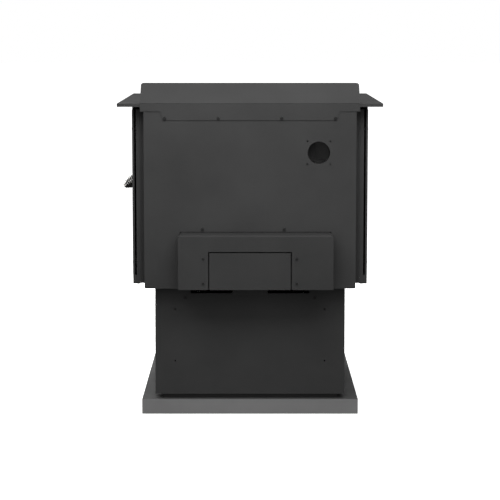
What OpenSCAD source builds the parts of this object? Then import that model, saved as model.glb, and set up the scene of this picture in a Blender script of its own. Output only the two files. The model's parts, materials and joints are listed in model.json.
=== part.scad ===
// Pedestal wood burning stove, built as an assembly of plates, sheets, castings and fasteners.
// Millimetres. +Z is up, the loading door faces -Y, and the origin is the centre of the base's underside.

/* [Base and pedestal] */
// Width of the base tray
base_w = 548; // [530:2:560]
// Depth of the base tray
base_d = 660; // [650:5:680]
// Height of the base tray
base_h = 38; // [30:1:45]
// Width of the pedestal
ped_w = 480; // [470:2:500]
// Depth of the pedestal
ped_d = 515; // [500:5:520]
// Height of the shadow gap under the pedestal
plinth_h = 12; // [8:1:16]

/* [Body] */
// Height of the firebox floor plate's underside above the floor
body_z = 332; // [326:1:338]
// Width over the firebox side plates
body_w = 554; // [548:2:556]
// Depth of the firebox, front plate included
body_d = 548; // [540:2:556]
// Depth of the rear convection duct, behind the firebox
duct_d = 57; // [50:1:60]
// Thickness of the firebox plates
wall_t = 5; // [4:0.5:6]

/* [Top] */
// Width of the top plate
top_w = 660; // [650:5:680]
// Depth of the top plate
top_d = 675; // [670:5:700]
// Height of the top plate's upper face above the floor
top_z = 788; // [784:1:794]
// Thickness of the top plate
top_t = 8; // [6:1:10]
// Inside radius of the flue collar
flue_r = 76.8; // [76.5:0.1:77.5]
// Height of the flue collar above the top plate
flue_h = 38; // [30:1:40]

/* [Door] */
// Width of the door
door_w = 460; // [450:2:460]
// Height of the door
door_h = 360; // [350:2:360]
// Width of the door's window
window_w = 356; // [330:2:356]
// Height of the door's window
window_h = 260; // [240:2:260]

/* [Handle] */
// Angle of the door handle below horizontal, when unlatched
handle_drop = 30; // [25:1:35]
// Largest radius of the coil grip
coil_r = 20.5; // [16:0.5:21]

/* [Hidden] */

$fn = 48;
weld_gap = 0.1;          // fit-up gap that keeps welded plates separate solids
sheet_t = 1.5;           // shields, duct and blower box
heavy_sheet_t = 3;       // pedestal and base
base_rib = 4;            // three ribs stiffen the base tray from below
screw_r = 2;             // sheet-metal screws
screw_hole_r = 2.3;

// Main planes. y grows towards the back of the stove.
base_rear = base_d / 2;
ped_rear = base_rear - 10;
ped_front = ped_rear - ped_d;
ped_z = base_h + plinth_h;
plinth_in = 18;          // how far the plinth stands back from the pedestal's faces
shield_y = base_rear + 30;          // outer face of the rear shield
body_rear = shield_y - duct_d;
body_front = body_rear - body_d;
front_t = 6;
top_under = top_z - top_t;
hx = body_w / 2;         // half width of the firebox
jacket_x = 286.4;          // outer face of the side jackets
in_x = hx - wall_t;      // inside face of a side plate
in_rear = body_rear - wall_t;
in_front = body_front + front_t;

// Firebrick lining
brick_t = 31.5;
brick_gap = 1;
floor_z = body_z + wall_t;
hearth_z = floor_z + 0.2 + brick_t;
brick_x = in_x - brick_t - 0.5;
brick_rear = in_rear - brick_t - 0.5;
brick_front = in_front + 4;
floor_cols = 3;
floor_rows = 4;
row_d = (brick_rear - brick_front) / floor_rows;
ash_y = brick_front + 1.5 * row_d;  // the ash hole is in the second row from the front
ash_hole = 70;

// Secondary air
manifold_z = [654, 680];
manifold_rear_z = [640, 694];
manifold_w = 28;
tube_r = 11;
tube_z = (manifold_z[0] + manifold_z[1]) / 2;
tube_ys = [-100, 0, 100, 200];
port = [-171, 666.4];    // x and z of the round intake port in the rear shield
port_r = 27.8;
port_screw = 28.5;       // half the spacing of the port's four screw holes

// Rear fittings
shield_hw = 264;
deflector_hw = 272.5;
deflector_tab = [215, 222, 768.7, 747];  // half widths of the tab at its foot and root, z of its root and foot
deflector_t = 2;
deflector_rise = 49;
deflector_reach = 56;
deflector_screw_xs = [-211.5, -78.7, 78.7, 211.5];
deflector_screw_z = 751.5;
blower_x = [-206, 178];
blower_z = [331, 466.3];
blower_d = 60;
cover_hw = 100.5;
cover_gap = 2.8;
cover_z = 422.8;
cover_screw_x = 115.7;
cover_screw_zs = [347, 408];
cover_flange_y = shield_y + 36;
shield_screw_xz = [[-85.3, 475], [118.7, 475]];
ped_screw = [163.5, 297];
ped_hole = [189.2, 135.3, 267.8];
notch_x = [44.5, 149.5];
notch_z = 308;

// Flue
flue_y = 130;
flue_bolt_pcd = 186;

// Ash drawer
drawer_hw = 130.5;
drawer_z = [149.4, 248];
drawer_y = [ped_front - 2, 166];
housing_hw = 134;
housing_z = [147.5, 264];
opening_hw = 136;
opening_z = [146, 266];
chute_hw = 46;

// Primary air control, under the ash lip
intake_x = 90;
intake_y = [body_front + 2, body_front + 47];
intake_z = body_z - 32;
rod = [-40, intake_z + 16];
rod_r = 4;
rod_front = -330;

// Door, hinge and latch
door_z = [365, 365 + door_h];
door_cz = (door_z[0] + door_z[1]) / 2;
door_y = [-275, -257];
window_cz = door_cz;
mouth = [200, 395, 695];            // half width, foot and head of the loading opening
rope = [203.5, 218.5];              // inner and outer half width of the rope gasket
hinge = [-246, -270];
hinge_zs = [440, 650];
hinge_r = 4;
knuckle_r = 9;
knuckle_h = 27;
ear_h = 12;
latch = [238, 594];                 // x and z of the latch shaft
latch_r = 6;
cam_y = [-256.5, -250.5];
latch_turn = 66;                    // from unlatched to latched, handle turned down
cam_len = 27;
arm_y = -318;
arm_len = 138;
coil_from = 43;
coil_len = 95;
coil_neck = 8.2;
coil_wire = 2.6;
coil_turns_shape = 1.6;

// ---------- helpers ----------

module block(x, y, z) {
    translate([x[0], y[0], z[0]]) cube([x[1] - x[0], y[1] - y[0], z[1] - z[0]]);
}

module facing_back(x, y, z) {
    translate([x, y, z]) rotate([-90, 0, 0]) children();
}

module facing_front(x, y, z) {
    translate([x, y, z]) rotate([90, 0, 0]) children();
}

module facing_side(side, x, y, z) {
    translate([side * x, y, z]) rotate([0, side * 90, 0]) children();
}

module both_sides() {
    children();
    mirror([1, 0, 0]) children();
}

// A flat rectangle with round corners, centred on the origin.
module round_rect(w, h, r) {
    square([w - 2 * r, h], center = true);
    square([w, h - 2 * r], center = true);
    for (sx = [-1, 1], sz = [-1, 1]) translate([sx * (w / 2 - r), sz * (h / 2 - r)]) circle(r);
}

// A round-cornered slab standing in the XZ plane, from y[0] to y[1].
module standing_slab(w, h, r, cz, y) {
    translate([0, y[1], cz]) rotate([90, 0, 0]) linear_extrude(y[1] - y[0]) round_rect(w, h, r);
}

// Hex washer-head screw: its seat is at z = 0 and the shank points down.
module hex_screw(shank, length, head_r = 3.6, head_h = 2.6, washer_r = 4.2) {
    cylinder(r = washer_r, h = 0.8);
    cylinder(r = head_r, h = 0.8 + head_h, $fn = 6);
    translate([0, 0, -length]) cylinder(r = shank, h = length + 0.5, $fn = 24);
}

module hole_back(x, z, r) {
    facing_back(x, shield_y - 40, z) cylinder(r = r, h = 140);
}

// ---------- base and pedestal ----------

module base_tray() color([0.42, 0.42, 0.43]) difference() {
    block([-base_w / 2, base_w / 2], [-base_d / 2, base_d / 2], [0, base_h]);
    bay = (base_w - 8 - 3 * base_rib) / 4;
    for (i = [0:3]) translate([-base_w / 2 + 4 + i * (bay + base_rib), 0, 0])
        block([0, bay], [-base_d / 2 + 4, base_d / 2 - 4], [-1, base_h - 4]);
    for (p = base_bolt_points()) translate([p[0], p[1], base_h - 5]) cylinder(r = 4.4, h = 6);
}

function plinth_x() = ped_w / 2 - plinth_in;
function plinth_y() = [ped_front + plinth_in, ped_rear - plinth_in];
function base_bolt_points() = [
    for (sx = [-1, 1], y = [plinth_y()[0] + 16, plinth_y()[1] - 16]) [sx * (plinth_x() - 16), y]
];

module base_bolts() color([0.3, 0.3, 0.3]) for (p = base_bolt_points()) translate([p[0], p[1], 0]) {
    translate([0, 0, ped_z + heavy_sheet_t]) hex_screw(4, ped_z - base_h + 14, 7, 5, 8.5);
    translate([0, 0, base_h - 11]) difference() {
        cylinder(r = 7, h = 6.5, $fn = 6);
        translate([0, 0, -1]) cylinder(r = 4.2, h = 9);
    }
}

module plinth_bars() color([0.13, 0.13, 0.13]) {
    x = plinth_x();
    y = plinth_y();
    both_sides() block([x - 3, x], y, [base_h, ped_z]);
    for (yy = [[y[0], y[0] + 3], [y[1] - 3, y[1]]])
        block([-x + 3 + weld_gap, x - 3 - weld_gap], yy, [base_h, ped_z]);
}

module pedestal_shell() color([0.17, 0.17, 0.17]) difference() {
    t = heavy_sheet_t;
    hw = ped_w / 2;
    foot = plinth_in + 28;
    union() {
        block([-hw, hw], [ped_rear - t, ped_rear], [ped_z, body_z]);
        both_sides() {
            block([hw - t, hw], [ped_front, ped_rear], [ped_z, body_z]);
            block([hw - foot, hw], [ped_front, ped_rear], [ped_z, ped_z + t]);
            block([hw - 26, hw], [ped_front, ped_rear], [body_z - t, body_z]);
        }
    }
    both_sides() block([notch_x[0], notch_x[1]], [ped_rear - 30, ped_rear + 1], [notch_z, body_z + 1]);
    block([-notch_x[0] - 1, notch_x[0] + 1], [ped_rear - 30, ped_rear + 1], [body_z - 2, body_z + 1]);
    for (sx = [-1, 1]) {
        facing_back(sx * ped_screw[0], ped_rear - 10, ped_screw[1]) cylinder(r = screw_hole_r, h = 20);
        for (z = [ped_hole[1], ped_hole[2]])
            facing_back(sx * ped_hole[0], ped_rear - 10, z) cylinder(r = 2.1, h = 20);
    }
    for (p = base_bolt_points()) translate([p[0], p[1], ped_z - 1]) cylinder(r = 4.4, h = t + 2);
}

module pedestal_front() color([0.17, 0.17, 0.17]) difference() {
    t = heavy_sheet_t;
    hw = ped_w / 2 - t - 0.2;
    z = [ped_z + t + 0.2, body_z - t - 0.2];
    union() {
        block([-hw, hw], [ped_front, ped_front + t], z);
        both_sides() block([hw - 2, hw], [ped_front, ped_front + 22], z);
    }
    block([-opening_hw, opening_hw], [ped_front - 1, ped_front + t + 1], opening_z);
}

module body_brackets() color([0.17, 0.17, 0.17]) {
    t = heavy_sheet_t;
    y = ped_rear - t;
    for (sx = [-1, 1]) difference() {
        union() {
            block(sx > 0 ? [152, 212] : [-212, -152], [y - 3, y], [284, body_z]);
            block(sx > 0 ? [152, 212] : [-212, -152], [y - 34, y], [body_z - 3, body_z]);
        }
        facing_back(sx * ped_screw[0], y - 10, ped_screw[1]) cylinder(r = screw_hole_r, h = 20);
    }
}

module rear_tie_bracket() color([0.17, 0.17, 0.17]) {
    x = [-notch_x[0], notch_x[0]];
    block(x, [ped_rear, ped_rear + 2], [304, body_z]);
    block(x, [ped_rear - 35, ped_rear + 2], [body_z - 2, body_z]);
}

module pedestal_screws() color([0.12, 0.12, 0.12])
    for (sx = [-1, 1]) facing_back(sx * ped_screw[0], ped_rear, ped_screw[1]) hex_screw(screw_r, 10);

module drawer_housing() color([0.35, 0.35, 0.36]) difference() {
    y = [ped_front + heavy_sheet_t, drawer_y[1] + 6];
    union() {
        difference() {
            block([-housing_hw, housing_hw], y, housing_z);
            block([-housing_hw + sheet_t, housing_hw - sheet_t], [y[0] - 1, y[1] - sheet_t],
                [housing_z[0] + sheet_t, housing_z[1] - sheet_t]);
        }
        both_sides() block([housing_hw - sheet_t, housing_hw + 16], [y[0], y[0] + sheet_t], housing_z);
    }
    block([-chute_hw - 2, chute_hw + 2], [ash_y - chute_hw - 2, ash_y + chute_hw + 2],
        [housing_z[1] - 3, housing_z[1] + 1]);
}

module ash_chute() color([0.35, 0.35, 0.36]) translate([0, ash_y, 0]) difference() {
    w = chute_hw;
    union() {
        block([-w, w], [-w, w], [housing_z[1] - sheet_t, body_z]);
        block([-w - 14, w + 14], [-w - 14, w + 14], [body_z - 2, body_z]);
    }
    block([-w + 2, w - 2], [-w + 2, w - 2], [housing_z[1] - 10, body_z + 1]);
}

// ---------- firebox ----------

module firebox_shell() color([0.15, 0.15, 0.15]) {
    x = in_x - weld_gap;
    both_sides() side_plate();
    difference() {
        block([-x, x], [in_rear, body_rear], [body_z, top_under]);
        intake_slot();
    }
    difference() {
        block([-x, x], [in_front, in_rear - weld_gap], [body_z, floor_z]);
        translate([0, ash_y, 0]) block([-ash_hole / 2, ash_hole / 2], [-ash_hole / 2, ash_hole / 2],
            [body_z - 1, floor_z + 1]);
        block([-60, 60], [in_front + 4, in_front + 24], [body_z - 1, floor_z + 1]);
    }
}

module side_plate() difference() {
    block([in_x, hx], [in_front, body_rear], [body_z, top_under]);
    for (p = side_screw_points()) translate([in_x - 1, p[0], p[1]]) rotate([0, 90, 0])
        cylinder(r = screw_hole_r, h = wall_t + 2);
}

// The slot behind the intake port, through the firebox and into the manifold.
module intake_slot() block([port[0] - 27, port[0] + 7], [in_rear - 4, body_rear + 1], [645, 689]);

module firebox_front() color([0.15, 0.15, 0.15]) difference() {
    block([-jacket_x, jacket_x], [body_front, in_front], [body_z, top_under]);
    standing_slab(2 * mouth[0], mouth[2] - mouth[1], 12, (mouth[1] + mouth[2]) / 2,
        [body_front - 1, in_front + 1]);
}

module top_plate() color([0.3, 0.3, 0.3]) difference() {
    translate([0, shield_y - top_d / 2, top_under]) linear_extrude(top_t) round_rect(top_w, top_d, 5);
    translate([0, flue_y, top_under - 1]) cylinder(r = flue_r - 0.8, h = top_t + 2, $fn = 96);
    for (x = [-162.5, 0, 162.5]) translate([x, shield_y - 31.5, top_under - 1])
        linear_extrude(top_t + 2) round_rect(145, 33, 6);
    flue_bolt_places() translate([0, 0, top_under - 1]) cylinder(r = 4.2, h = top_t + 2);
}

module flue_bolt_places() {
    for (a = [45:90:315]) translate([flue_bolt_pcd / 2 * cos(a), flue_y + flue_bolt_pcd / 2 * sin(a), 0])
        children();
}

module flue_gasket() color([0.75, 0.73, 0.68]) difference() {
    translate([0, flue_y, top_z]) cylinder(r = 104, h = 2, $fn = 96);
    translate([0, flue_y, top_z - 1]) cylinder(r = 80, h = 4, $fn = 96);
    flue_bolt_places() translate([0, 0, top_z - 1]) cylinder(r = 4.4, h = 4);
}

module flue_collar() color([0.14, 0.14, 0.14]) difference() {
    union() {
        translate([0, flue_y, top_z + 2]) cylinder(r = 105, h = 8, $fn = 96);
        translate([0, flue_y, top_z + 2]) cylinder(r = 83, h = flue_h - 2, $fn = 96);
    }
    translate([0, flue_y, top_z + 1]) cylinder(r = flue_r, h = flue_h + 2, $fn = 96);
    flue_bolt_places() translate([0, 0, top_z + 1]) cylinder(r = 4.4, h = 10);
}

module flue_bolts() color([0.3, 0.3, 0.3]) flue_bolt_places() {
    translate([0, 0, top_z + 10]) hex_screw(4, 10 + top_t + 8, 6.8, 5.2, 8);
    translate([0, 0, top_under - 6.6]) difference() {
        cylinder(r = 7, h = 6.5, $fn = 6);
        translate([0, 0, -1]) cylinder(r = 4.2, h = 9);
    }
}

// ---------- rear shield, duct, deflector and blower box ----------

module rear_shield() color([0.27, 0.27, 0.27]) difference() {
    block([-shield_hw, shield_hw], [shield_y - sheet_t, shield_y], [body_z - 6.2, top_under]);
    hole_back(port[0], port[1], port_r);
    for (sx = [-1, 1], sz = [-1, 1])
        hole_back(port[0] + sx * port_screw, port[1] + sz * port_screw, 2.1);
    for (x = deflector_screw_xs) hole_back(x, deflector_screw_z, screw_hole_r);
    for (p = shield_screw_xz) hole_back(p[0], p[1], screw_hole_r);
    block([blower_x[0] + 3, blower_x[1] - 3], [shield_y - 5, shield_y + 1], [345, blower_z[1] + 2.5]);
}

module duct_channels() color([0.2, 0.2, 0.2]) both_sides() {
    z = [body_z, top_under];
    y = [body_rear, shield_y - sheet_t];
    block([shield_hw - sheet_t, shield_hw], y, z);
    block([shield_hw - 14, shield_hw], [y[1] - sheet_t, y[1]], z);
    block([shield_hw - 14, shield_hw], [y[0], y[0] + sheet_t], z);
}

module intake_sleeve() color([0.16, 0.16, 0.16])
    facing_back(port[0], body_rear, port[1]) difference() {
        cylinder(r = 31, h = duct_d - sheet_t, $fn = 72);
        translate([0, 0, -1]) cylinder(r = 29.5, h = duct_d + 2, $fn = 72);
    }

module shield_screws() color([0.12, 0.12, 0.12])
    for (p = shield_screw_xz) facing_back(p[0], shield_y, p[1]) hex_screw(screw_r, 9);

module rear_deflector() color([0.3, 0.3, 0.3]) difference() {
    lean = atan2(deflector_reach, deflector_rise);
    length = norm([deflector_reach, deflector_rise]);
    r = 8;
    hw = deflector_hw;
    tab = deflector_tab;
    union() {
        translate([0, shield_y + deflector_t, 0]) rotate([90, 0, 0]) linear_extrude(deflector_t)
            polygon([[-hw, top_z], [-hw, tab[2]], [-tab[1], tab[2]], [-tab[0], tab[3]],
                [tab[0], tab[3]], [tab[1], tab[2]], [hw, tab[2]], [hw, top_z]]);
        translate([0, shield_y + deflector_t / 2, top_z]) rotate([lean, 0, 0])
            translate([0, deflector_t / 2, 0]) rotate([90, 0, 0]) linear_extrude(deflector_t) {
                translate([-hw, 0]) square([2 * hw, length - r]);
                translate([-hw + r, 0]) square([2 * (hw - r), length]);
                for (sx = [-1, 1]) translate([sx * (hw - r), length - r]) circle(r);
            }
    }
    for (x = deflector_screw_xs) hole_back(x, deflector_screw_z, screw_hole_r);
}

module deflector_screws() color([0.12, 0.12, 0.12])
    for (x = deflector_screw_xs)
        facing_back(x, shield_y + deflector_t, deflector_screw_z) hex_screw(screw_r, 10);

// The housing seen from behind has two round top corners, and its top edge is a 4 mm bend.
module blower_outline(inset, y) {
    r = 8 - inset;
    bend = 4 - inset;
    x = [blower_x[0] + inset, blower_x[1] - inset];
    z = [inset > 0 ? blower_z[0] - 1 : blower_z[0], blower_z[1] - inset];
    intersection() {
        union() {
            block(x, y, [z[0], z[1] - r]);
            block([x[0] + r, x[1] - r], y, [z[1] - r - 1, z[1]]);
            for (cx = [x[0] + r, x[1] - r]) translate([cx, y[1], z[1] - r]) rotate([90, 0, 0])
                cylinder(r = r, h = y[1] - y[0]);
        }
        union() {
            block(x, [y[0], y[1] - bend], z);
            block(x, [y[1] - bend - 1, y[1]], [z[0], z[1] - bend]);
            translate([x[0], y[1] - bend, z[1] - bend]) rotate([0, 90, 0]) cylinder(r = bend, h = x[1] - x[0]);
        }
    }
}

module blower_box() color([0.23, 0.23, 0.23]) difference() {
    t = sheet_t;
    back = shield_y + blower_d;
    inside = shield_y - sheet_t;
    x = [blower_x[0] + 6, blower_x[1] - 6];
    union() {
        difference() {
            blower_outline(0, [shield_y, back]);
            blower_outline(t, [shield_y - 1, back - t]);
        }
        block(x, [inside - t, shield_y + 1], [blower_z[1] - t, blower_z[1]]);
        block(x, [inside - t, inside], [blower_z[1] - t, blower_z[1] + 18]);
    }
    for (p = shield_screw_xz) facing_back(p[0], inside - 5, p[1]) cylinder(r = screw_hole_r, h = 10);
    block([-cover_hw - cover_gap, cover_hw + cover_gap], [back - 5, back + 1],
        [blower_z[0] - 1, cover_z + cover_gap]);
    for (sx = [-1, 1], z = cover_screw_zs)
        facing_back(sx * cover_screw_x, back - 5, z) cylinder(r = screw_hole_r, h = 10);
}

module blower_cover() color([0.22, 0.22, 0.22]) difference() {
    t = sheet_t;
    back = shield_y + blower_d;
    z = [blower_z[0], cover_z];
    union() {
        block([-cover_hw, cover_hw], [back - t, back], z);
        both_sides() {
            block([cover_hw - t, cover_hw], [cover_flange_y, back], z);
            block([cover_hw - t, cover_hw + 28], [cover_flange_y, cover_flange_y + t], z);
        }
    }
    for (sx = [-1, 1], z = cover_screw_zs)
        facing_back(sx * cover_screw_x, cover_flange_y - 5, z) cylinder(r = screw_hole_r, h = 10);
}

module cover_screws() color([0.12, 0.12, 0.12])
    for (sx = [-1, 1], z = cover_screw_zs)
        facing_back(sx * cover_screw_x, shield_y + blower_d, z)
            hex_screw(screw_r, shield_y + blower_d - cover_flange_y + 3, 3, 1.8, 3.4);

// ---------- side shields ----------

side_gap = 7.5;          // between a side jacket and the outer side shield
side_t = 2.5;
jacket_t = 1.5;
hem_w = 5;               // folded rear edge of the outer side shield
hem_d = 15;
spacer_r = 7;
shield_x = jacket_x + side_gap;
function side_screw_points() = [for (y = [-190, 250], z = [body_z + 48, top_under - 60]) [y, z]];

// Inner heat jacket: a sheet beside the firebox with its rear edge folded in to meet it.
module side_jackets() color([0.17, 0.17, 0.17]) both_sides() difference() {
    z = [body_z - 2, top_under - 8.5];
    union() {
        block([jacket_x - jacket_t, jacket_x], [in_front + weld_gap, body_rear], z);
        block([hx + weld_gap, jacket_x], [body_rear - jacket_t, body_rear], z);
    }
    for (p = side_screw_points()) facing_side(1, jacket_x - 5, p[0], p[1]) cylinder(r = spacer_r + 0.5, h = 10);
}

// The outer sheet reaches the top plate at both ends; warm air leaves over the low stretch between.
module side_shield(side) color([0.2, 0.2, 0.2]) {
    x = [shield_x, shield_x + side_t];
    z = [body_z - 2, top_under - 1.5];
    rear = body_rear - 3;
    mirror([side > 0 ? 0 : 1, 0, 0]) difference() {
        union() {
            block(x, [body_front, rear], z);
            block([jacket_x + 0.5, x[1]], [body_front, body_front + side_t], z);
            block([x[1] - hem_w, x[1]], [rear - hem_d, rear], z);
            block([jacket_x + 0.3, x[1]], [rear - side_t, rear], [z[0], z[0] + 22]);
        }
        for (y = [[-215, 150], [rear - hem_d - 1, rear + 1]])
            block([x[0] - 4, x[1] + 1], y, [top_under - 9.5, top_under]);
        for (p = side_screw_points()) facing_side(1, x[0] - 1, p[0], p[1])
            cylinder(r = screw_hole_r, h = side_t + 2);
    }
}

module side_shield_left() side_shield(-1);
module side_shield_right() side_shield(1);

module side_spacers() color([0.2, 0.2, 0.2]) both_sides() for (p = side_screw_points())
    facing_side(1, hx, p[0], p[1]) difference() {
        cylinder(r = spacer_r, h = shield_x - hx);
        translate([0, 0, -1]) cylinder(r = screw_hole_r, h = shield_x - hx + 2);
    }

module side_screws() color([0.12, 0.12, 0.12]) both_sides() for (p = side_screw_points())
    facing_side(1, shield_x + side_t, p[0], p[1]) hex_screw(screw_r, shield_x + side_t - hx + 4);

// ---------- secondary air, baffle and lining ----------

// Each side duct is a folded channel closed by a drilled strip, and so is the rear one.
module air_manifold() color([0.3, 0.28, 0.26]) {
    t = 3;
    gap = 0.1;
    xo = in_x;
    xi = in_x - manifold_w;
    yr = in_rear - manifold_w;
    duct_x = [xi + t, xo - t];
    duct_z = [manifold_z[0] + t, manifold_z[1] - t];
    both_sides() {
        difference() {
            block([xi + t, xo], [-150, yr - gap], manifold_z);
            block([xi, xo - t], [-150 + t, yr + 1], duct_z);
        }
        difference() {
            block([xi, xi + t - gap], [-150, yr - gap], manifold_z);
            for (ty = tube_ys) translate([xi - 1, ty, tube_z]) rotate([0, 90, 0])
                cylinder(r = tube_r + 0.2, h = t + 2);
        }
    }
    difference() {
        block([-xo, xo], [yr + t, in_rear], manifold_rear_z);
        block([-xo + t, xo - t], [yr, in_rear - t], [manifold_rear_z[0] + t, manifold_rear_z[1] - t]);
        intake_slot();
    }
    difference() {
        block([-xo, xo], [yr, yr + t - gap], manifold_rear_z);
        both_sides() block(duct_x, [yr - 1, yr + t], duct_z);
    }
}

module secondary_tubes() color([0.5, 0.48, 0.46]) for (ty = tube_ys) translate([0, ty, tube_z])
    difference() {
        half = in_x - manifold_w + 2.5;
        translate([-half, 0, 0]) rotate([0, 90, 0]) cylinder(r = tube_r, h = 2 * half);
        translate([-half - 1, 0, 0]) rotate([0, 90, 0]) cylinder(r = tube_r - 2, h = 2 * half + 2);
        for (i = [-5:5]) translate([i * 42, 0, 0]) rotate([135, 0, 0]) cylinder(r = 2.1, h = tube_r + 2, $fn = 16);
    }

module baffle_boards() color([0.78, 0.72, 0.6]) both_sides()
    block([0.5, in_x - 3], [-140, in_rear - manifold_w - 2], [manifold_z[1] + 0.3, manifold_z[1] + 25.3]);

// The second row's middle brick is four cut pieces around the ash hole, and the first row's is
// shorter, to leave the air slot open.
module firebricks_floor() color([0.8, 0.7, 0.52]) {
    col_w = 2 * brick_x / floor_cols;
    z = [floor_z + 0.2, hearth_z];
    for (i = [0:floor_cols - 1], j = [0:floor_rows - 1]) {
        x = [-brick_x + i * col_w, -brick_x + (i + 1) * col_w - brick_gap];
        y = [brick_front + j * row_d, brick_front + (j + 1) * row_d - brick_gap];
        if (i == 1 && j == 0) block(x, [in_front + 26, y[1]], z);
        else if (i == 1 && j == 1) {
            block(x, [y[0], ash_y - 39], z);
            block(x, [ash_y + 39, y[1]], z);
            for (side = [[x[0], -39], [39, x[1]]]) block(side, [ash_y - 38, ash_y + 38], z);
        }
        else block(x, y, z);
    }
}

module side_bricks() {
    h = (manifold_z[0] - hearth_z - 2) / 2;
    for (j = [0:3], k = [0:1])
        block([in_x - brick_t, in_x - 0.2],
            [brick_front + j * row_d, brick_front + (j + 1) * row_d - brick_gap],
            [hearth_z + 0.2 + k * h, hearth_z + 0.2 + (k + 1) * h - brick_gap]);
}

module firebricks_left() color([0.8, 0.7, 0.52]) mirror([1, 0, 0]) side_bricks();
module firebricks_right() color([0.8, 0.7, 0.52]) side_bricks();

module firebricks_rear() color([0.8, 0.7, 0.52]) {
    w = 2 * brick_x / 4;
    h = (manifold_rear_z[0] - hearth_z - 1) / 2;
    for (i = [0:3], k = [0:1])
        block([-brick_x + i * w, -brick_x + (i + 1) * w - brick_gap], [in_rear - brick_t, in_rear - 0.2],
            [hearth_z + 0.2 + k * h, hearth_z + 0.2 + (k + 1) * h - brick_gap]);
}

module airwash_plate() color([0.3, 0.28, 0.26]) {
    block([-240, 240], [in_front, in_front + 20], [742, 745]);
    block([-240, 240], [in_front + 17, in_front + 20], [700, 745]);
}

// ---------- front fittings ----------

module ash_lip() color([0.17, 0.17, 0.17]) {
    x = [-240, 240];
    block(x, [-332, body_front], [347, 350]);
    block(x, [-332, -329], [336, 358]);
    block(x, [body_front - 3, body_front], [336, 350]);
}

module air_intake_box() color([0.2, 0.2, 0.2]) difference() {
    t = 2;
    block([-intake_x, intake_x], intake_y, [intake_z, body_z]);
    block([-intake_x + t, intake_x - t], [intake_y[0] + t, intake_y[1] - t], [intake_z + t, body_z + 1]);
    block([-70, -10], [intake_y[0] + 7, intake_y[1] - 7], [intake_z - 1, intake_z + t + 1]);
    block([rod[0] - 6, rod[0] + 68], [intake_y[0] - 1, intake_y[0] + t + 1], [rod[1] - 5, rod[1] + 5]);
}

module hinge_brackets() color([0.17, 0.17, 0.17]) for (z = hinge_zs) difference() {
    gap = knuckle_h / 2 + 0.5;
    union() {
        block([hinge[0] - 16, hinge[0] + 11], [body_front - 5, body_front], [z - gap - ear_h, z + gap + ear_h]);
        for (s = [-1, 1]) translate([0, 0, s > 0 ? z + gap : z - gap - ear_h]) {
            translate([hinge[0], hinge[1], 0]) cylinder(r = knuckle_r, h = ear_h);
            block([hinge[0] - knuckle_r, hinge[0] + knuckle_r], [hinge[1], body_front], [0, ear_h]);
        }
    }
    translate([hinge[0], hinge[1], z - 40]) cylinder(r = hinge_r + 0.05, h = 80);
}

module hinge_pins() color([0.55, 0.55, 0.55]) for (z = hinge_zs) translate([hinge[0], hinge[1], z]) {
    top = knuckle_h / 2 + 0.5 + ear_h;
    translate([0, 0, -top - 2]) cylinder(r = hinge_r, h = 2 * top + 3);
    translate([0, 0, top]) cylinder(r = 6.5, h = 4);
}

module latch_catch() color([0.17, 0.17, 0.17]) {
    block([268, 283], [-264, body_front], [latch[1] - 15, latch[1] + 15]);
    block([256, 270], [-264, -258], [latch[1] - 12, latch[1] + 12]);
}

// ---------- door ----------

module door_frame() color([0.15, 0.15, 0.15]) difference() {
    union() {
        standing_slab(door_w, door_h, 14, door_cz, door_y);
        standing_slab(window_w + 40, window_h + 40, 16, window_cz, [door_y[0] - 5, door_y[0] + 1]);
        for (z = hinge_zs) {
            translate([hinge[0], hinge[1], z - knuckle_h / 2]) cylinder(r = knuckle_r, h = knuckle_h);
            block([hinge[0], -door_w / 2 + 8], [hinge[1] - 5, hinge[1] + 7],
                [z - knuckle_h / 2, z + knuckle_h / 2]);
        }
        block([door_w / 2 - 14, latch[0]], door_y, [latch[1] - 13, latch[1] + 13]);
        translate([latch[0], door_y[1], latch[1]]) rotate([90, 0, 0])
            cylinder(r = 13, h = door_y[1] - door_y[0] + 4);
    }
    standing_slab(window_w, window_h, 10, window_cz, [door_y[0] - 6, door_y[1] + 1]);
    standing_slab(window_w + 21, window_h + 21, 6, window_cz, [door_y[1] - 6, door_y[1] + 1]);
    rope_ring(rope[0] - 0.3, rope[1] + 0.3, [door_y[1] - 8, door_y[1] + 1]);
    for (z = hinge_zs) translate([hinge[0], hinge[1], z - 40]) cylinder(r = hinge_r + 0.06, h = 80);
    translate([latch[0], door_y[1] + 1, latch[1]]) rotate([90, 0, 0]) cylinder(r = latch_r + 0.06, h = 40);
    for (p = clip_screw_points()) facing_front(p[0], door_y[1] + 1, p[1]) cylinder(r = 2.1, h = 12, $fn = 24);
}

// A rectangular ring around the window, between two half widths measured at the sides.
module rope_ring(inner, outer, y) {
    edge = door_w / 2 - door_h / 2;
    difference() {
        standing_slab(2 * outer, 2 * (outer - edge), 8, door_cz, y);
        standing_slab(2 * inner, 2 * (inner - edge), 1, door_cz, [y[0] - 1, y[1] + 1]);
    }
}

function clip_screw_points() = concat(
    [for (sx = [-1, 1], z = [-70, 70]) [sx * (window_w / 2 + 16), window_cz + z]],
    [for (x = [-100, 100], sz = [-1, 1]) [x, window_cz + sz * (window_h / 2 + 16)]]
);

module door_glass() color([0.1, 0.1, 0.1, 0.45])
    standing_slab(window_w + 20, window_h + 20, 5, window_cz, [door_y[1] - 5, door_y[1]]);

module glass_gasket() color([0.8, 0.78, 0.72]) {
    y = [door_y[1] - 6, door_y[1] - 5];
    hw = window_w / 2;
    hh = window_h / 2;
    both_sides() block([hw + 1, hw + 9], y, [window_cz - hh + 4, window_cz + hh - 4]);
    for (s = [-1, 1]) block([-hw, hw], y, [window_cz + s * (hh + 5) - 4, window_cz + s * (hh + 5) + 4]);
}

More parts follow.
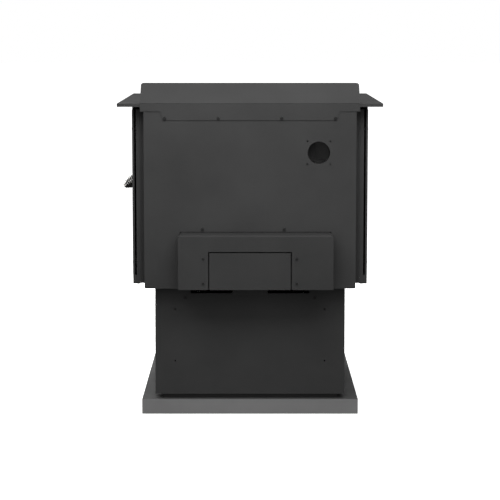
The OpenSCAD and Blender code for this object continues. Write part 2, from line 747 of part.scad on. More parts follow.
module glass_clips() color([0.35, 0.35, 0.35]) difference() {
    y = [door_y[1], door_y[1] + 2];
    hw = window_w / 2;
    hh = window_h / 2;
    union() {
        both_sides() block([hw + 1, hw + 22], y, [window_cz - 105, window_cz + 105]);
        for (s = [-1, 1]) block([-150, 150], y, [window_cz + s * (hh + 11.5) - 10.5, window_cz + s * (hh + 11.5) + 10.5]);
    }
    for (p = clip_screw_points()) facing_front(p[0], y[1] + 1, p[1]) cylinder(r = 2.3, h = 5, $fn = 24);
}

module glass_screws() color([0.5, 0.5, 0.5]) for (p = clip_screw_points())
    translate([p[0], door_y[1] + 2, p[1]]) rotate([-90, 0, 0]) hex_screw(1.9, 11, 3.2, 1.6, 3.8);

module door_gasket() color([0.75, 0.74, 0.7]) {
    y = [door_y[1] - 8, body_front - 0.4];
    edge = door_w / 2 - door_h / 2;
    zi = rope[0] - edge;
    zo = rope[1] - edge;
    both_sides() block([rope[0], rope[1]], y, [door_cz - zi + 0.5, door_cz + zi - 0.5]);
    for (z = [[door_cz - zo, door_cz - zi], [door_cz + zi, door_cz + zo]])
        block([-rope[1] + 8, rope[1] - 8], y, z);
}

// ---------- latch and coil handle ----------

module latch_shaft() color([0.5, 0.5, 0.5]) {
    translate([latch[0], -248, latch[1]]) rotate([90, 0, 0]) cylinder(r = latch_r, h = arm_y * -1 + 8 - 248);
    translate([latch[0], -246.6, latch[1]]) rotate([90, 0, 0]) cylinder(r = 9, h = 3.6, $fn = 6);
}

module latch_cam() color([0.4, 0.4, 0.4]) difference() {
    union() {
        translate([latch[0], cam_y[1], latch[1]]) rotate([90, 0, 0]) cylinder(r = 11, h = cam_y[1] - cam_y[0]);
        translate([latch[0], 0, latch[1]]) rotate([0, -latch_turn, 0]) block([0, cam_len], cam_y, [-6, 6]);
    }
    translate([latch[0], cam_y[1] + 1, latch[1]]) rotate([90, 0, 0]) cylinder(r = latch_r + 0.1, h = 10);
}

// Places a shape along the handle: its z axis runs down the arm from the latch shaft.
module along_arm() {
    translate([latch[0], arm_y, latch[1]]) rotate([0, 90 + handle_drop, 0]) children();
}

module handle_arm() color([0.12, 0.12, 0.12]) difference() {
    union() {
        translate([latch[0], arm_y + 9, latch[1]]) rotate([90, 0, 0]) cylinder(r = 10.5, h = 18);
        along_arm() cylinder(r = 5, h = arm_len - 4);
    }
    translate([latch[0], arm_y + 10, latch[1]]) rotate([90, 0, 0]) cylinder(r = latch_r + 0.1, h = 22);
}

// Radius of the coil grip at a share t of its length, from its neck to its tip.
function grip_radius(t) = coil_neck + (coil_r - coil_neck) * sin(180 * pow(t, coil_turns_shape));

// The grip is a coil of wire, so its solid is a shell one wire thick.
module handle_coil() color([0.6, 0.6, 0.6]) along_arm() translate([0, 0, coil_from]) rotate_extrude()
    polygon(concat(
        [for (i = [0:14]) [grip_radius(i / 14), coil_len * i / 14]],
        [for (i = [14:-1:0]) [max(5.6, grip_radius(i / 14) - coil_wire), coil_len * i / 14]]
    ));

module handle_tip_nut() color([0.6, 0.6, 0.6]) along_arm() translate([0, 0, arm_len - 3.8]) difference() {
    cylinder(r = 5.4, h = 5.5);
    translate([0, 0, -1]) cylinder(r = 2, h = 3);
}

// ---------- air control, ash drawer and ash plug ----------

module air_damper() color([0.3, 0.3, 0.3]) {
    y = [intake_y[0] + 4, intake_y[1] - 4];
    block([-74, -6], y, [intake_z + 2.4, intake_z + 4.4]);
    block([rod[0] - 7, rod[0] + 7], [y[0], y[0] + 3], [intake_z + 2.4, rod[1] + 7]);
    translate([rod[0], y[0] + 1, rod[1]]) rotate([90, 0, 0]) cylinder(r = rod_r, h = y[0] + 1 - rod_front);
}

module air_knob() color([0.6, 0.6, 0.6])
    translate([rod[0], rod_front - 0.2, rod[1]]) rotate([90, 0, 0]) rotate_extrude()
        polygon(concat([[0, 0]], [for (i = [0:10]) [6 + 4 * sin(18 * i), 24 * i / 10]], [[0, 24]]));

module drawer_pan() color([0.35, 0.35, 0.36]) difference() {
    block([-drawer_hw, drawer_hw], drawer_y, drawer_z);
    block([-drawer_hw + sheet_t, drawer_hw - sheet_t], [drawer_y[0] + sheet_t, drawer_y[1] - sheet_t],
        [drawer_z[0] + sheet_t, drawer_z[1] + 1]);
}

module drawer_front() color([0.17, 0.17, 0.17])
    standing_slab(296, 144, 4, 206, [drawer_y[0] - 6, drawer_y[0]]);

module drawer_handle() color([0.6, 0.6, 0.6]) {
    y = drawer_y[0] - 6;
    for (x = [-45, 45]) translate([x, y, 214]) rotate([90, 0, 0]) cylinder(r = 4.5, h = 30);
    translate([-55, y - 30, 214]) rotate([0, 90, 0]) cylinder(r = 5, h = 110);
}

module ash_plug() color([0.14, 0.14, 0.14]) translate([0, ash_y, 0]) {
    block([-33, 33], [-33, 33], [body_z + 1, hearth_z + 1]);
    block([-50, 50], [-50, 50], [hearth_z + 0.3, hearth_z + 6]);
    for (x = [-18, 18]) translate([x, 0, hearth_z + 5]) cylinder(r = 4, h = 16);
    translate([-24, 0, hearth_z + 21]) rotate([0, 90, 0]) cylinder(r = 4, h = 48);
}

base_tray();
base_bolts();
plinth_bars();
pedestal_shell();
pedestal_front();
body_brackets();
rear_tie_bracket();
pedestal_screws();
drawer_housing();
ash_chute();
firebox_shell();
firebox_front();
top_plate();
flue_gasket();
flue_collar();
flue_bolts();
side_jackets();
rear_shield();
duct_channels();
intake_sleeve();
shield_screws();
rear_deflector();
deflector_screws();
blower_box();
blower_cover();
cover_screws();
side_shield_left();
side_shield_right();
side_spacers();
side_screws();
air_manifold();
secondary_tubes();
baffle_boards();
firebricks_floor();
firebricks_left();
firebricks_right();
firebricks_rear();
airwash_plate();
ash_lip();
air_intake_box();
hinge_brackets();
hinge_pins();
latch_catch();
door_frame();
door_glass();
glass_gasket();
glass_clips();
glass_screws();
door_gasket();
latch_shaft();
latch_cam();
handle_arm();
handle_coil();
handle_tip_nut();
air_damper();
air_knob();
drawer_pan();
drawer_front();
drawer_handle();
ash_plug();
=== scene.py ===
import json
import math

import bmesh
import bpy
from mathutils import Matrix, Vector


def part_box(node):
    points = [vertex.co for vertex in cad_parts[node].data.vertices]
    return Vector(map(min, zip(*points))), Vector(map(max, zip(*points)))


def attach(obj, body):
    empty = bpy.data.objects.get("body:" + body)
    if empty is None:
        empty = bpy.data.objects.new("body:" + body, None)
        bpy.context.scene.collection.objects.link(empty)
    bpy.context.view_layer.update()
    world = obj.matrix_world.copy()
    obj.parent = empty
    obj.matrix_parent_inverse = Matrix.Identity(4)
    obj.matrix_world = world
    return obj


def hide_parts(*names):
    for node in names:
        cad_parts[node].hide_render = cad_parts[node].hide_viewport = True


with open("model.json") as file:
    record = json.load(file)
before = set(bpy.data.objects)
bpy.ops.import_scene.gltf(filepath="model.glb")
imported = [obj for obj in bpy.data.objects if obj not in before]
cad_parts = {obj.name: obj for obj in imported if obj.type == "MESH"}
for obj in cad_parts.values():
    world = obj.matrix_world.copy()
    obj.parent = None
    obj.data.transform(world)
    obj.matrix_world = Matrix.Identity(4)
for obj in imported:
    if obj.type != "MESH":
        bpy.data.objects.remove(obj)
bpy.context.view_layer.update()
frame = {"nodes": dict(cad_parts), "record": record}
nodes = frame["nodes"]
slot_of = {s["node"]: s["material_slot"] for s in frame["record"]["subparts"]}

# Where the camera stands, in metres behind the rear shield and above the floor, and how far it looks down
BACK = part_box("rear_shield")[1].y
CAMERA_AWAY = 4.5814
EYE_HEIGHT = 0.9873
LOOK_DOWN = 7.018


# ---------- camera, light and floor ----------

def make_camera():
    cam = bpy.data.cameras.new("camera")
    cam.sensor_width = 36.0
    cam.lens = 133.06
    cam.clip_end = 60.0
    obj = bpy.data.objects.new("camera", cam)
    bpy.context.scene.collection.objects.link(obj)
    obj.location = (0.0, BACK + CAMERA_AWAY, EYE_HEIGHT)
    obj.rotation_euler = (math.radians(90 - LOOK_DOWN), 0.0, math.pi)
    bpy.context.scene.camera = obj


def area_light(name, place, target, size, power, size_y=None):
    """A soft rectangular lamp at place, aimed at target, in metres and watts."""
    lamp = bpy.data.lights.new(name, "AREA")
    lamp.shape = "RECTANGLE"
    lamp.size = size
    lamp.size_y = size_y or size
    lamp.energy = power
    obj = bpy.data.objects.new(name, lamp)
    bpy.context.scene.collection.objects.link(obj)
    obj.location = place
    obj.rotation_euler = (Vector(target) - Vector(place)).to_track_quat("-Z", "Y").to_euler()
    obj.visible_camera = False


def make_floor():
    """A plain pale floor, a little bright of its own, which throws no light on the stove."""
    mesh = bpy.data.meshes.new("floor")
    bm = bmesh.new()
    bmesh.ops.create_grid(bm, x_segments=1, y_segments=1, size=40.0)
    bm.to_mesh(mesh)
    bm.free()
    floor = bpy.data.objects.new("floor", mesh)
    bpy.context.scene.collection.objects.link(floor)
    mat = bpy.data.materials.new("floor")
    mat.use_nodes = True
    shader = mat.node_tree.nodes["Principled BSDF"]
    shader.inputs["Base Color"].default_value = (0.95, 0.95, 0.95, 1)
    shader.inputs["Roughness"].default_value = 1.0
    shader.inputs["Specular IOR Level"].default_value = 0.0
    shader.inputs["Emission Color"].default_value = (1.0, 1.0, 1.0, 1)
    shader.inputs["Emission Strength"].default_value = 0.8
    mesh.materials.append(mat)
    floor.visible_diffuse = False
    floor.visible_glossy = False


def make_world():
    """A white backdrop; as a lamp it is a soft dome, bright overhead and dim low down."""
    world = bpy.data.worlds.new("studio")
    world.use_nodes = True
    tree = world.node_tree
    dome = tree.nodes["Background"]
    dome.inputs["Color"].default_value = (1.0, 1.0, 1.0, 1)
    place = tree.nodes.new("ShaderNodeTexCoord")
    split = tree.nodes.new("ShaderNodeSeparateXYZ")
    level = tree.nodes.new("ShaderNodeMapRange")
    for key, value in (("From Min", -0.6), ("From Max", 0.9), ("To Min", 0.02), ("To Max", 0.56)):
        level.inputs[key].default_value = value
    tree.links.new(place.outputs["Generated"], split.inputs[0])
    tree.links.new(split.outputs["Z"], level.inputs["Value"])
    tree.links.new(level.outputs["Result"], dome.inputs["Strength"])
    backdrop = tree.nodes.new("ShaderNodeBackground")
    backdrop.inputs["Color"].default_value = (1.0, 1.0, 1.0, 1)
    backdrop.inputs["Strength"].default_value = 1.0
    seen = tree.nodes.new("ShaderNodeLightPath")
    mix = tree.nodes.new("ShaderNodeMixShader")
    tree.links.new(seen.outputs["Is Camera Ray"], mix.inputs["Fac"])
    tree.links.new(dome.outputs[0], mix.inputs[1])
    tree.links.new(backdrop.outputs[0], mix.inputs[2])
    tree.links.new(mix.outputs[0], tree.nodes["World Output"].inputs["Surface"])
    bpy.context.scene.world = world


make_camera()
make_floor()
make_world()
bpy.context.scene.view_settings.view_transform = "Standard"
area_light("key_back", (0.0, 1.2, 1.5), (0, 0.3, 0.66), 2.0, 23, 0.8)
area_light("fill_back", (0.0, 2.5, 0.75), (0, 0.3, 0.45), 2.0, 19)
area_light("key_front", (0.5, -1.5, 2.5), (0, -0.3, 0.5), 1.4, 30)
area_light("fill_front", (0.45, -2.3, 0.58), (0, -0.3, 0.5), 1.5, 22, 0.36)
area_light("overhead", (0.0, 0.1, 2.9), (0, 0.1, 0.8), 1.8, 8)


# ---------- materials ----------

class Mat:
    """A small helper that wires a Principled material in object space, in metres."""

    def __init__(self, name, roughness=0.5, metallic=0.0):
        self.mat = bpy.data.materials.new(name)
        self.mat.use_nodes = True
        self.tree = self.mat.node_tree
        self.shader = self.tree.nodes["Principled BSDF"]
        self.shader.inputs["Roughness"].default_value = roughness
        self.shader.inputs["Metallic"].default_value = metallic
        self.coord = self.tree.nodes.new("ShaderNodeTexCoord").outputs["Object"]

    def node(self, kind, **settings):
        n = self.tree.nodes.new(kind)
        for key, value in settings.items():
            if key in n.inputs:
                n.inputs[key].default_value = value
            else:
                setattr(n, key, value)
        return n

    def link(self, out, into):
        self.tree.links.new(out, into)

    def scaled(self, factors):
        m = self.node("ShaderNodeMapping")
        m.inputs["Scale"].default_value = factors
        self.link(self.coord, m.inputs["Vector"])
        return m.outputs["Vector"]

    def noise(self, scale, detail=4.0, rough=0.55, vector=None):
        n = self.node("ShaderNodeTexNoise")
        n.inputs["Scale"].default_value = scale
        n.inputs["Detail"].default_value = detail
        n.inputs["Roughness"].default_value = rough
        self.link(vector or self.coord, n.inputs["Vector"])
        return n.outputs["Fac"]

    def voronoi(self, scale, output="Distance"):
        n = self.node("ShaderNodeTexVoronoi")
        n.inputs["Scale"].default_value = scale
        self.link(self.coord, n.inputs["Vector"])
        return n.outputs[output]

    def ramp(self, value, stops):
        """Colours along the value: stops are pairs of place and colour."""
        n = self.node("ShaderNodeValToRGB")
        elements = n.color_ramp.elements
        while len(elements) < len(stops):
            elements.new(0.5)
        for element, (place, colour) in zip(elements, stops):
            element.position = place
            element.color = (*colour, 1)
        self.link(value, n.inputs["Fac"])
        return n.outputs["Color"]

    def spread(self, value, low, high, from_low=0.3, from_high=0.7):
        """The value stretched from its own range to low and high."""
        n = self.node("ShaderNodeMapRange")
        n.inputs["From Min"].default_value = from_low
        n.inputs["From Max"].default_value = from_high
        n.inputs["To Min"].default_value = low
        n.inputs["To Max"].default_value = high
        self.link(value, n.inputs["Value"])
        return n.outputs["Result"]

    def math(self, operation, a, b):
        n = self.node("ShaderNodeMath", operation=operation)
        for i, v in enumerate((a, b)):
            if isinstance(v, (int, float)):
                n.inputs[i].default_value = v
            else:
                self.link(v, n.inputs[i])
        return n.outputs[0]

    def bump(self, height, strength, distance):
        n = self.node("ShaderNodeBump")
        n.inputs["Strength"].default_value = strength
        n.inputs["Distance"].default_value = distance
        self.link(height, n.inputs["Height"])
        self.link(n.outputs["Normal"], self.shader.inputs["Normal"])

    def set(self, socket, value):
        if isinstance(value, (int, float, tuple)):
            self.shader.inputs[socket].default_value = value
        else:
            self.link(value, self.shader.inputs[socket])


def grey(v):
    return (v, v, v)


def stove_paint(name, tone, spread=0.12, rough=(0.68, 0.8), grain=1.0, painted_shade_top=None):
    """Sprayed matt high-temperature paint: fine grain, faint clouds where the coat is thicker.
    painted_shade_top darkens the faces that look up: painted shade, standing in for the shade the stove body
    above casts on them."""
    m = Mat(name)
    clouds = m.noise(5.0, 5.0, 0.6)
    specks = m.noise(900.0, 2.0, 0.5)
    mixed = m.math("ADD", m.math("MULTIPLY", clouds, 0.7), m.math("MULTIPLY", specks, 0.3))
    colour = m.ramp(mixed, [(0.36, grey(tone * (1 - spread))), (0.64, grey(tone * (1 + spread)))])
    # Painted shade: faces that look up are multiplied towards painted_shade_top, darker the more they face
    # up.
    if painted_shade_top:
        facing = m.node("ShaderNodeNewGeometry").outputs["Normal"]
        up = m.node("ShaderNodeSeparateXYZ")
        m.link(facing, up.inputs[0])
        mix = m.node("ShaderNodeMix", data_type="RGBA", blend_type="MULTIPLY")
        m.link(m.spread(up.outputs["Z"], 0.0, 1.0, 0.5, 0.95), mix.inputs["Factor"])
        m.link(colour, mix.inputs[6])
        mix.inputs[7].default_value = (*grey(painted_shade_top), 1)
        colour = mix.outputs[2]
    m.set("Base Color", colour)
    m.set("Roughness", m.spread(m.noise(40.0, 4.0, 0.6), *rough))
    m.set("Specular IOR Level", 0.04)
    fine = m.noise(1500.0, 2.0, 0.5)
    ripple = m.noise(220.0, 2.0, 0.5)
    m.bump(m.math("ADD", fine, m.math("MULTIPLY", ripple, 0.6)), 0.16 * grain, 0.00012)
    return m.mat


def casting(name, tone):
    """Painted cast iron: a sandy, slightly lumpy skin."""
    m = Mat(name)
    skin = m.noise(30.0, 6.0, 0.65)
    m.set("Base Color", m.ramp(skin, [(0.35, grey(tone * 0.8)), (0.68, grey(tone * 1.25))]))
    m.set("Roughness", m.spread(m.noise(90.0, 4.0, 0.6), 0.5, 0.68))
    m.set("Specular IOR Level", 0.4)
    lumps = m.noise(380.0, 5.0, 0.62)
    m.bump(lumps, 0.4, 0.00035)
    return m.mat


def steel(name, colour, rough, tint=0.12):
    """Bare steel, faintly streaked from rolling and stained by heat."""
    m = Mat(name, metallic=1.0)
    lines = m.noise(1.0, 5.0, 0.6, vector=m.scaled((30.0, 30.0, 900.0)))
    stain = m.noise(14.0, 5.0, 0.6)
    dark = tuple(c * (1 - tint) for c in colour)
    light = tuple(min(1, c * (1 + tint)) for c in colour)
    m.set("Base Color", m.ramp(stain, [(0.32, dark), (0.68, light)]))
    worn = m.math("ADD", m.math("MULTIPLY", lines, 0.5), m.math("MULTIPLY", stain, 0.5))
    m.set("Roughness", m.spread(worn, *rough))
    m.bump(lines, 0.10, 0.0001)
    return m.mat


def zinc(name):
    """Galvanised sheet, with its crystal flakes."""
    m = Mat(name, metallic=1.0)
    flakes = m.voronoi(85.0, output="Color")
    m.set("Base Color", m.ramp(flakes, [(0.2, (0.42, 0.43, 0.45)), (0.8, (0.62, 0.63, 0.64))]))
    m.set("Roughness", m.spread(flakes, 0.34, 0.5, 0.2, 0.8))
    m.bump(m.noise(260.0, 3.0, 0.5), 0.08, 0.0001)
    return m.mat


def nickel(name, dark=(0.60, 0.585, 0.55), light=(0.74, 0.72, 0.68), rough=(0.16, 0.27)):
    """Nickel plate with a light haze of handling."""
    m = Mat(name, metallic=1.0)
    haze = m.noise(120.0, 4.0, 0.6)
    m.set("Base Color", m.ramp(haze, [(0.3, dark), (0.7, light)]))
    m.set("Roughness", m.spread(haze, *rough))
    m.bump(haze, 0.05, 0.0001)
    return m.mat


# How much one brick's tone differs from another's, and the joint between two bricks
BRICK_SPREAD = 0.16
BRICK_JOINT = 0.001


def firebrick(name, cell, start):
    """Pressed refractory: sandy grain, soot in patches, each brick of its own tone.
    cell is a brick's pitch along each axis and start is where the first one begins."""
    m = Mat(name, roughness=0.92)
    sand = m.noise(420.0, 4.0, 0.7)
    patches = m.noise(9.0, 4.0, 0.6)
    moved = m.node("ShaderNodeVectorMath", operation="SUBTRACT")
    m.link(m.coord, moved.inputs[0])
    moved.inputs[1].default_value = start
    snap = m.node("ShaderNodeVectorMath", operation="SNAP")
    m.link(moved.outputs[0], snap.inputs[0])
    snap.inputs[1].default_value = cell
    lot = m.node("ShaderNodeTexWhiteNoise", noise_dimensions="3D")
    m.link(snap.outputs[0], lot.inputs["Vector"])
    own = m.math("MULTIPLY", m.math("SUBTRACT", lot.outputs["Value"], 0.5), BRICK_SPREAD)
    mixed = m.math("ADD", m.math("MULTIPLY", sand, 0.5), m.math("MULTIPLY", patches, 0.5))
    m.set("Base Color", m.ramp(m.math("ADD", mixed, own), [
        (0.32, (0.24, 0.17, 0.105)), (0.5, (0.52, 0.40, 0.26)), (0.68, (0.72, 0.61, 0.44))]))
    m.set("Roughness", m.spread(sand, 0.85, 0.97))
    m.set("Specular IOR Level", 0.2)
    pits = m.voronoi(300.0)
    m.bump(m.math("ADD", pits, sand), 0.55, 0.0009)
    return m.mat


def vermiculite(name):
    """Pressed vermiculite board, with flakes that catch the light."""
    m = Mat(name, roughness=0.9)
    flakes = m.voronoi(240.0, output="Color")
    m.set("Base Color", m.ramp(flakes, [(0.2, (0.42, 0.33, 0.20)), (0.5, (0.62, 0.54, 0.40)),
                                        (0.85, (0.74, 0.68, 0.55))]))
    m.set("Roughness", m.spread(flakes, 0.8, 0.95, 0.2, 0.8))
    m.bump(m.voronoi(240.0), 0.4, 0.0006)
    return m.mat


def glass(name):
    """Clear glass ceramic with a faint warm tint, and a soft haze of soot."""
    m = Mat(name, roughness=0.02)
    smear = m.noise(7.0, 4.0, 0.6)
    m.set("Base Color", m.ramp(smear, [(0.3, (0.84, 0.81, 0.76)), (0.7, (0.95, 0.93, 0.90))]))
    m.set("Roughness", m.spread(smear, 0.0, 0.04))
    m.set("Transmission Weight", 1.0)
    m.set("IOR", 1.52)
    m.set("Alpha", 0.45)
    return m.mat


def fibre(name, colour):
    """Glass fibre rope and tape: a fine weave, stained in places."""
    m = Mat(name, roughness=0.95)
    weave = m.noise(900.0, 3.0, 0.6)
    stains = m.noise(25.0, 4.0, 0.6)
    mixed = m.math("ADD", m.math("MULTIPLY", weave, 0.5), m.math("MULTIPLY", stains, 0.5))
    m.set("Base Color", m.ramp(mixed, [(0.34, tuple(c * 0.62 for c in colour)), (0.66, colour)]))
    m.set("Roughness", m.spread(weave, 0.86, 1.0))
    m.set("Specular IOR Level", 0.15)
    m.bump(weave, 0.5, 0.0005)
    return m.mat


MATS = {
    "body_black": stove_paint("stove_paint", 0.040),
    # Painted shade: a darker copy of the stove paint, standing in for the shade low on the stove's back,
    # used on the pedestal and blower box.
    "pedestal_black_shaded": stove_paint("pedestal_paint_shaded", 0.036),
    # Painted shade on the tray's top faces, which come out darker than its sides.
    "base_grey": stove_paint("base_paint", 0.172, 0.10, painted_shade_top=0.40),
    "screw_black": stove_paint("black_oxide", 0.018, 0.15, (0.3, 0.42), 0.4),
    "cast_black": casting("cast_paint", 0.034),
    "bare_steel": steel("bare_steel", (0.36, 0.35, 0.34), (0.34, 0.5)),
    # Painted light: a lighter copy of the stove paint, making up for the shade the top plate casts on the
    # side jackets' rear edges.
    "jacket_black_lit": stove_paint("jacket_paint_lit", 0.050),
    "mill_scale": stove_paint("mill_scale", 0.085, 0.25, (0.6, 0.75), 1.5),
    "zinc_sheet": zinc("zinc_sheet"),
    "nickel": nickel("nickel"),
    "spring_nickel": nickel("spring_nickel", (0.40, 0.395, 0.385), (0.54, 0.53, 0.515), (0.10, 0.18)),
    "baffle_board": vermiculite("baffle_board"),
    "glass_ceramic": glass("glass_ceramic"),
    "rope_grey": fibre("rope_grey", (0.40, 0.39, 0.37)),
    "tape_white": fibre("tape_white", (0.66, 0.64, 0.59)),
}


def brick_cells(name, across):
    """The pitch and start of a lining's bricks: across gives how many lie along each axis."""
    lo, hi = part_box(name)
    cell = tuple((h - l + BRICK_JOINT) / n for l, h, n in zip(lo, hi, across))
    return cell, tuple(l - BRICK_JOINT / 2 for l in lo)


# How many bricks each lining has along X, Y and Z
LININGS = {"firebricks_floor": (3, 4, 1), "firebricks_left": (1, 4, 2),
           "firebricks_right": (1, 4, 2), "firebricks_rear": (4, 1, 2)}
for lining, across in LININGS.items():
    MATS[lining] = firebrick(lining, *brick_cells(lining, across))


def dress(obj, mat):
    """Gives a CAD node one material all over."""
    obj.data.materials.clear()
    obj.data.materials.append(mat)
    for p in obj.data.polygons:
        p.material_index = 0


# Rounding of the folded and cut edges, in metres
BEVELS = {
    "base_tray": 0.0016, "pedestal_shell": 0.0012, "pedestal_front": 0.0010, "top_plate": 0.0009,
    "rear_shield": 0.0005, "rear_deflector": 0.0006, "blower_box": 0.0011, "blower_cover": 0.0005,
    "side_shield_left": 0.0004, "side_shield_right": 0.0004,
    "side_jackets": 0.0004, "firebox_shell": 0.0009,
    "firebox_front": 0.0010, "flue_collar": 0.0012, "door_frame": 0.0016, "ash_lip": 0.0009,
    "drawer_front": 0.0014, "drawer_handle": 0.0008, "hinge_brackets": 0.0008, "latch_catch": 0.0008,
    "latch_cam": 0.0006, "firebricks_floor": 0.0014, "firebricks_left": 0.0014,
    "firebricks_right": 0.0014, "firebricks_rear": 0.0014, "ash_plug": 0.0012,
    "air_intake_box": 0.0008, "rear_tie_bracket": 0.0005, "body_brackets": 0.0006,
    "air_manifold": 0.0008, "airwash_plate": 0.0006, "plinth_bars": 0.0006, "baffle_boards": 0.0015,
    "glass_clips": 0.0005, "drawer_pan": 0.0005, "drawer_housing": 0.0005, "duct_channels": 0.0005,
    "handle_arm": 0.0008, "latch_shaft": 0.0006, "hinge_pins": 0.0006, "handle_tip_nut": 0.0006,
    "deflector_screws": 0.0003, "shield_screws": 0.0003, "cover_screws": 0.0003,
    "pedestal_screws": 0.0003, "side_screws": 0.0003, "flue_bolts": 0.0005, "base_bolts": 0.0005,
    "glass_screws": 0.0003, "air_damper": 0.0004, "air_knob": 0.0003, "door_glass": 0.0006,
}


def bevel(obj, width):
    """Rounds the sharp edges of a CAD node, to the given width in metres."""
    m = obj.modifiers.new("edge", "BEVEL")
    m.width = width
    m.segments = 2
    m.limit_method = "ANGLE"
    m.angle_limit = math.radians(40)
    m.use_clamp_overlap = True
    m.harden_normals = False


# Nodes whose look differs from their record's slot
FINISH = {
    # Painted shade: the pedestal and the blower box take the darker copy of the paint.
    "pedestal_shell": "pedestal_black_shaded", "pedestal_front": "pedestal_black_shaded",
    "blower_box": "pedestal_black_shaded", "blower_cover": "pedestal_black_shaded",
    "air_manifold": "mill_scale", "side_spacers": "body_black", "intake_sleeve": "body_black",
    # Painted light: the side jackets and shields take the lighter copy of the paint.
    "side_jackets": "jacket_black_lit", "side_shield_left": "jacket_black_lit",
    "side_shield_right": "jacket_black_lit",
}
FINISH.update((lining, lining) for lining in LININGS)
for name, obj in sorted(nodes.items()):
    dress(obj, MATS[FINISH.get(name, slot_of[name])])
    if name in BEVELS:
        bevel(obj, BEVELS[name])


# ---------- detailed pieces ----------

def add_piece(name, bm, body, mat, slot, *replaced):
    """Makes the piece, which rides on the body and stands for the CAD nodes named last."""
    mesh = bpy.data.meshes.new(name)
    bm.to_mesh(mesh)
    bm.free()
    obj = bpy.data.objects.new(name, mesh)
    bpy.context.scene.collection.objects.link(obj)
    mesh.materials.append(MATS[mat])
    for p in mesh.polygons:
        p.use_smooth = True
    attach(obj, body)
    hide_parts(*replaced)


def sweep(bm, points, radius, sides=10, closed=False, up=Vector((0, 0, 1))):
    """Sweeps a round section along the points; radius is a number or a function of 0 to 1."""
    count = len(points)
    rings = []
    for i, p in enumerate(points):
        before = points[i - 1] if i or closed else points[0]
        after = points[(i + 1) % count] if i < count - 1 or closed else points[-1]
        run = (after - before).normalized()
        side = run.cross(up)
        side = side.normalized() if side.length > 1e-6 else Vector((1, 0, 0))
        other = side.cross(run).normalized()
        r = radius(i / max(1, count - 1)) if callable(radius) else radius
        rings.append([bm.verts.new(p + side * (r * math.cos(a)) + other * (r * math.sin(a)))
                      for a in (2 * math.pi * k / sides for k in range(sides))])
    for i in range(count if closed else count - 1):
        one, two = rings[i], rings[(i + 1) % count]
        for k in range(sides):
            bm.faces.new((one[k], one[(k + 1) % sides], two[(k + 1) % sides], two[k]))
    if not closed:
        bm.faces.new(list(reversed(rings[0])))
        bm.faces.new(rings[-1])
    bmesh.ops.recalc_face_normals(bm, faces=bm.faces)


# The door handle's arm: where it starts on the hub and which way it runs, 30 degrees below level
ARM_SLOPE = math.radians(120)
ARM_BASE = Vector((0.238, -0.318, 0.594))
ARM_RUN = Vector((math.sin(ARM_SLOPE), 0, math.cos(ARM_SLOPE)))
ARM_SIDE = Vector((math.cos(ARM_SLOPE), 0, -math.sin(ARM_SLOPE)))
ARM_OUT = Vector((0, 1, 0))
ARM_RADIUS = 0.005

# The coil grip: where it starts along the arm, its length, its wire and how often that goes round
COIL_FROM = 0.043
COIL_LEN = 0.095
COIL_WIRE = 0.0045
COIL_TURNS = 16
STEPS_A_TURN = 28


def grip_radius(t):
    """The grip's outer radius, from its hub end at 0 to its tip at 1, widest past the middle."""
    return 0.0082 + 0.0123 * math.sin(math.pi * t ** 1.6)


def coil_points():
    out = []
    steps = COIL_TURNS * STEPS_A_TURN
    for i in range(steps + 1):
        t = i / steps
        r = max(ARM_RADIUS + COIL_WIRE / 2, grip_radius(t) - COIL_WIRE / 2)
        a = 2 * math.pi * COIL_TURNS * t
        along = COIL_FROM + COIL_WIRE / 2 + (COIL_LEN - COIL_WIRE) * t
        out.append(ARM_BASE + ARM_RUN * along
                   + ARM_SIDE * (r * math.cos(a)) + ARM_OUT * (r * math.sin(a)))
    return out


def make_coil_grip():
    """One length of spring wire wound round the arm, swelling to its widest near the tip."""
    bm = bmesh.new()
    sweep(bm, coil_points(), COIL_WIRE / 2, 10, up=ARM_RUN)
    add_piece("handle_coil_wire", bm, "handle", "spring_nickel", "nickel", "handle_coil")


def make_coil_shade_sleeve():
    """A dark sleeve inside the coil, which closes the view through the turns: painted shade, a dark body
    standing in for the shade inside the hollow spring.
    """
    length = COIL_LEN - 2 * COIL_WIRE
    middle = [ARM_BASE + ARM_RUN * (COIL_FROM + COIL_WIRE + length * k / 24) for k in range(25)]
    bm = bmesh.new()
    # Painted shade: the sleeve's near-black finish darkens the gaps between the turns.
    sweep(bm, middle, lambda t: max(ARM_RADIUS + 0.0004, grip_radius(0.05 + 0.9 * t) - 0.95 * COIL_WIRE),
          24, up=ARM_SIDE)
    add_piece("handle_coil_shade_sleeve", bm, "handle", "screw_black", "screw_black", "handle_coil")


# The door gasket's rope: strands laid round each other, inside the channel in the door
ROPE_HALF = 0.0066
ROPE_CORNER = 0.022
STRAND_RADIUS = 0.0033
STRANDS = 4
LAYS = 60
ROPE_STEPS = 1400


def rounded_loop(x, z, r, steps):
    """Points round a rounded rectangle of half sizes x and z, evenly spaced, each with its run."""
    centres = ((x - r, z - r, 0), (-(x - r), z - r, 90), (-(x - r), -(z - r), 180), (x - r, -(z - r), 270))
    corners = []
    for cx, cz, start in centres:
        for k in range(9):
            a = math.radians(start + 90 * k / 8)
            corners.append((cx + r * math.cos(a), cz + r * math.sin(a)))
    corners.append(corners[0])
    lengths = [0.0]
    for (ax, az), (bx, bz) in zip(corners, corners[1:]):
        lengths.append(lengths[-1] + math.hypot(bx - ax, bz - az))
    out = []
    seg = 0
    for i in range(steps):
        want = lengths[-1] * i / steps
        while lengths[seg + 1] < want:
            seg += 1
        f = (want - lengths[seg]) / (lengths[seg + 1] - lengths[seg])
        (ax, az), (bx, bz) = corners[seg], corners[seg + 1]
        out.append((ax + (bx - ax) * f, az + (bz - az) * f, bx - ax, bz - az))
    return out


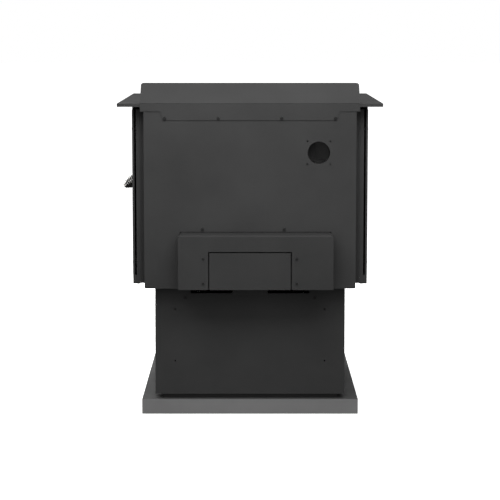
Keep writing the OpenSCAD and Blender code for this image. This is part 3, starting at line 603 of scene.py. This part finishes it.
def make_door_rope():
    """Strands of glass rope laid round the door's channel."""
    low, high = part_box("door_gasket")
    mid = (low + high) / 2
    half_deep = (high.y - low.y) / 2
    loop = rounded_loop((high.x - low.x) / 2 - ROPE_HALF, (high.z - low.z) / 2 - ROPE_HALF,
                        ROPE_CORNER, ROPE_STEPS)
    bm = bmesh.new()
    for strand in range(STRANDS):
        points = []
        for i, (x, z, dx, dz) in enumerate(loop):
            run = math.hypot(dx, dz)
            out_x, out_z = dz / run, -dx / run
            a = 2 * math.pi * (LAYS * i / len(loop) + strand / STRANDS)
            inward = (ROPE_HALF - 0.0031) * math.cos(a)
            points.append(Vector((mid.x + x + out_x * inward,
                                  mid.y + (half_deep - 0.0036) * math.sin(a),
                                  mid.z + z + out_z * inward)))
        sweep(bm, points, STRAND_RADIUS, 8, closed=True, up=Vector((0, 1, 0)))
    add_piece("door_rope", bm, "door", "rope_grey", "rope_grey", "door_gasket")


# The air control's knob: a small coil of thinner wire over a turned core
KNOB_TURNS = 8
KNOB_WIRE_RADIUS = 0.00115
KNOB_CORE_RADIUS = 0.0050
KNOB_TIP_RADIUS = 0.0034
KNOB_MARGIN = 0.0015


def make_air_knob():
    low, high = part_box("air_knob")
    mid = (low + high) / 2
    length = high.y - low.y
    steps = KNOB_TURNS * STEPS_A_TURN
    points = []
    for i in range(steps + 1):
        t = i / steps
        r = 0.0060 + 0.0028 * math.sin(math.pi * t)
        a = 2 * math.pi * KNOB_TURNS * t
        points.append(Vector((mid.x + r * math.cos(a), high.y - KNOB_MARGIN - (length - 2 * KNOB_MARGIN) * t,
                              mid.z + r * math.sin(a))))
    bm = bmesh.new()
    sweep(bm, points, KNOB_WIRE_RADIUS, 8, up=Vector((0, 1, 0)))
    core = [Vector((mid.x, high.y - length * f, mid.z)) for f in (0.0, 0.08, 0.3, 0.6, 0.9, 0.96, 1.0)]
    sweep(bm, core, lambda t: KNOB_CORE_RADIUS if t < 0.98 else KNOB_TIP_RADIUS, 20)
    add_piece("air_knob_coil", bm, "air_control", "spring_nickel", "nickel", "air_knob")


make_coil_grip()
make_coil_shade_sleeve()
make_door_rope()
make_air_knob()
